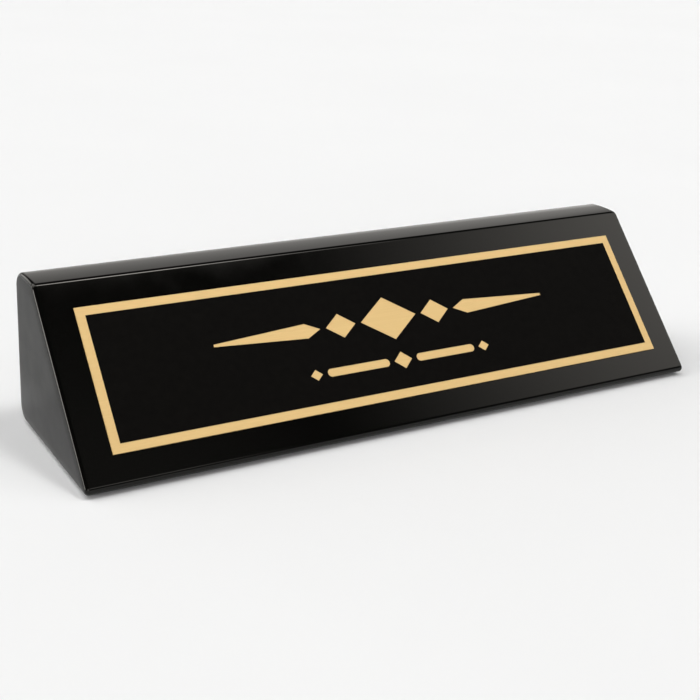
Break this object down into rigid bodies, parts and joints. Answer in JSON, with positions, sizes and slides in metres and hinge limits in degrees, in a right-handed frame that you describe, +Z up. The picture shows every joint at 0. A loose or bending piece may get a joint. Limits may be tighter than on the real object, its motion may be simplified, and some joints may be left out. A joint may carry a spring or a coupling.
{
  "type": "desk name plate",
  "caption": "Desk name plate: black piano-lacquered wedge block whose sloped front carries a thin black plate with a gold border, standing on a felt base.",
  "frame": {"origin": "on the desk surface, under the centre of the whole part's bounding box", "axes": "+X along the block, -Y towards the reader (the sloped front), +Z up from the desk"},
  "size_m": [0.2666, 0.072, 0.0595],
  "materials": {
    "fibreboard": "raw fibreboard, sanded",
    "lacquer": "polished piano lacquer",
    "adhesive": "soft acrylic film",
    "gilt_brass": "fine satin, bright",
    "enamel": "satin black coat",
    "felt": "pressed felt"
  },
  "bodies": {
    "root": {"core_base_board": "fibreboard", "core_middle_board": "fibreboard", "core_top_board": "fibreboard", "lacquer_coat": "lacquer", "plate_adhesive": "adhesive", "name_plate": "gilt_brass", "plate_enamel": "enamel", "felt_adhesive": "adhesive", "base_felt": "felt"}
  },
  "joints": []
}
